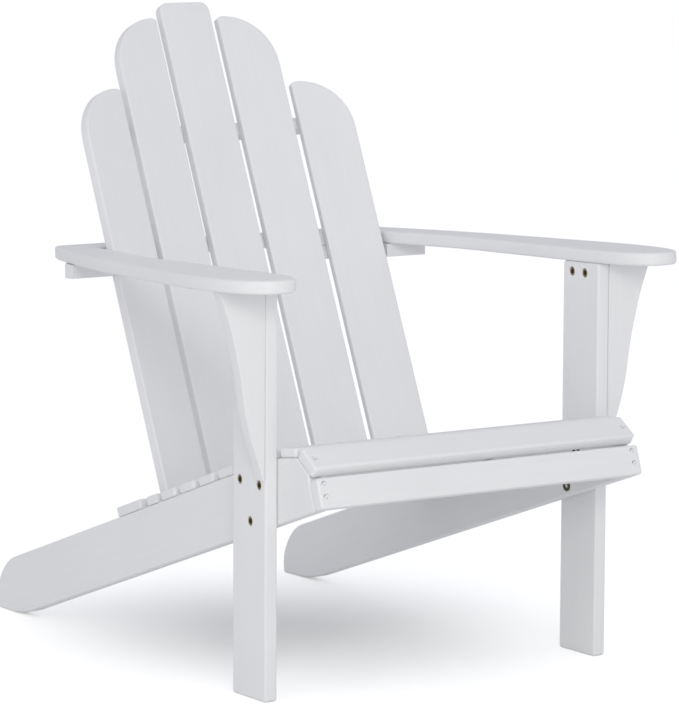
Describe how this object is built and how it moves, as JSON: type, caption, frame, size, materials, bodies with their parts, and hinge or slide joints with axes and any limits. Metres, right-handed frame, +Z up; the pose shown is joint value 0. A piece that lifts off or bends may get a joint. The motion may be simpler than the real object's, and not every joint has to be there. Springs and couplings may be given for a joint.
{
  "type": "adirondack chair",
  "caption": "Low garden armchair with a raked slatted seat, a fan-shaped back of tall boards, broad flat arms on straight front legs and side rails that run down to the ground.",
  "frame": {"origin": "on the floor, under the middle of the chair's overall box", "axes": "+X to the sitter's left, which is the right side seen from the front, +Y from the front of the chair to its rear, +Z up. Node names call the -X side left."},
  "size_m": [0.765, 0.9057, 0.9287],
  "materials": {
    "frame_paint": "white satin paint over solid wood",
    "arm_paint": "white satin paint over solid wood",
    "seat_paint": "white satin paint over solid wood",
    "back_boards_paint": "white satin paint over solid wood",
    "zinc_plated_steel": "yellow zinc plate",
    "screw_steel": "plain zinc plate"
  },
  "bodies": {
    "root": {"apron_screw_left_1": "screw_steel", "apron_screw_left_2": "screw_steel", "apron_screw_right_1": "screw_steel", "apron_screw_right_2": "screw_steel", "arm_block_left": "arm_paint", "arm_block_right": "arm_paint", "arm_bolt_left_1": "zinc_plated_steel", "arm_bolt_left_2": "zinc_plated_steel", "arm_bolt_right_1": "zinc_plated_steel", "arm_bolt_right_2": "zinc_plated_steel", "arm_bracket_left": "frame_paint", "arm_bracket_right": "frame_paint", "arm_cleat_left": "frame_paint", "arm_cleat_right": "frame_paint", "armrest_left": "arm_paint", "armrest_right": "arm_paint", "back_board_1": "back_boards_paint", "back_board_2": "back_boards_paint", "back_board_3": "back_boards_paint", "back_board_4": "back_boards_paint", "back_board_5": "back_boards_paint", "front_apron": "seat_paint", "front_leg_left": "frame_paint", "front_leg_right": "frame_paint", "front_slat": "seat_paint", "front_slat_screw_left": "screw_steel", "front_slat_screw_right": "screw_steel", "lower_back_rail": "seat_paint", "middle_back_rail": "frame_paint", "seat_slat_1": "seat_paint", "seat_slat_2": "seat_paint", "seat_slat_3": "seat_paint", "seat_slat_4": "seat_paint", "seat_slat_5": "seat_paint", "seat_slat_6": "seat_paint", "seat_slat_7": "seat_paint", "seat_slat_8": "seat_paint", "side_bolt_left_1": "zinc_plated_steel", "side_bolt_left_2": "zinc_plated_steel", "side_bolt_left_3": "zinc_plated_steel", "side_bolt_right_1": "zinc_plated_steel", "side_bolt_right_2": "zinc_plated_steel", "side_bolt_right_3": "zinc_plated_steel", "side_rail_left": "frame_paint", "side_rail_right": "frame_paint", "sleeve_nut_left_1": "zinc_plated_steel", "sleeve_nut_left_2": "zinc_plated_steel", "sleeve_nut_left_3": "zinc_plated_steel", "sleeve_nut_right_1": "zinc_plated_steel", "sleeve_nut_right_2": "zinc_plated_steel", "sleeve_nut_right_3": "zinc_plated_steel", "upper_back_brace": "frame_paint"}
  },
  "joints": []
}
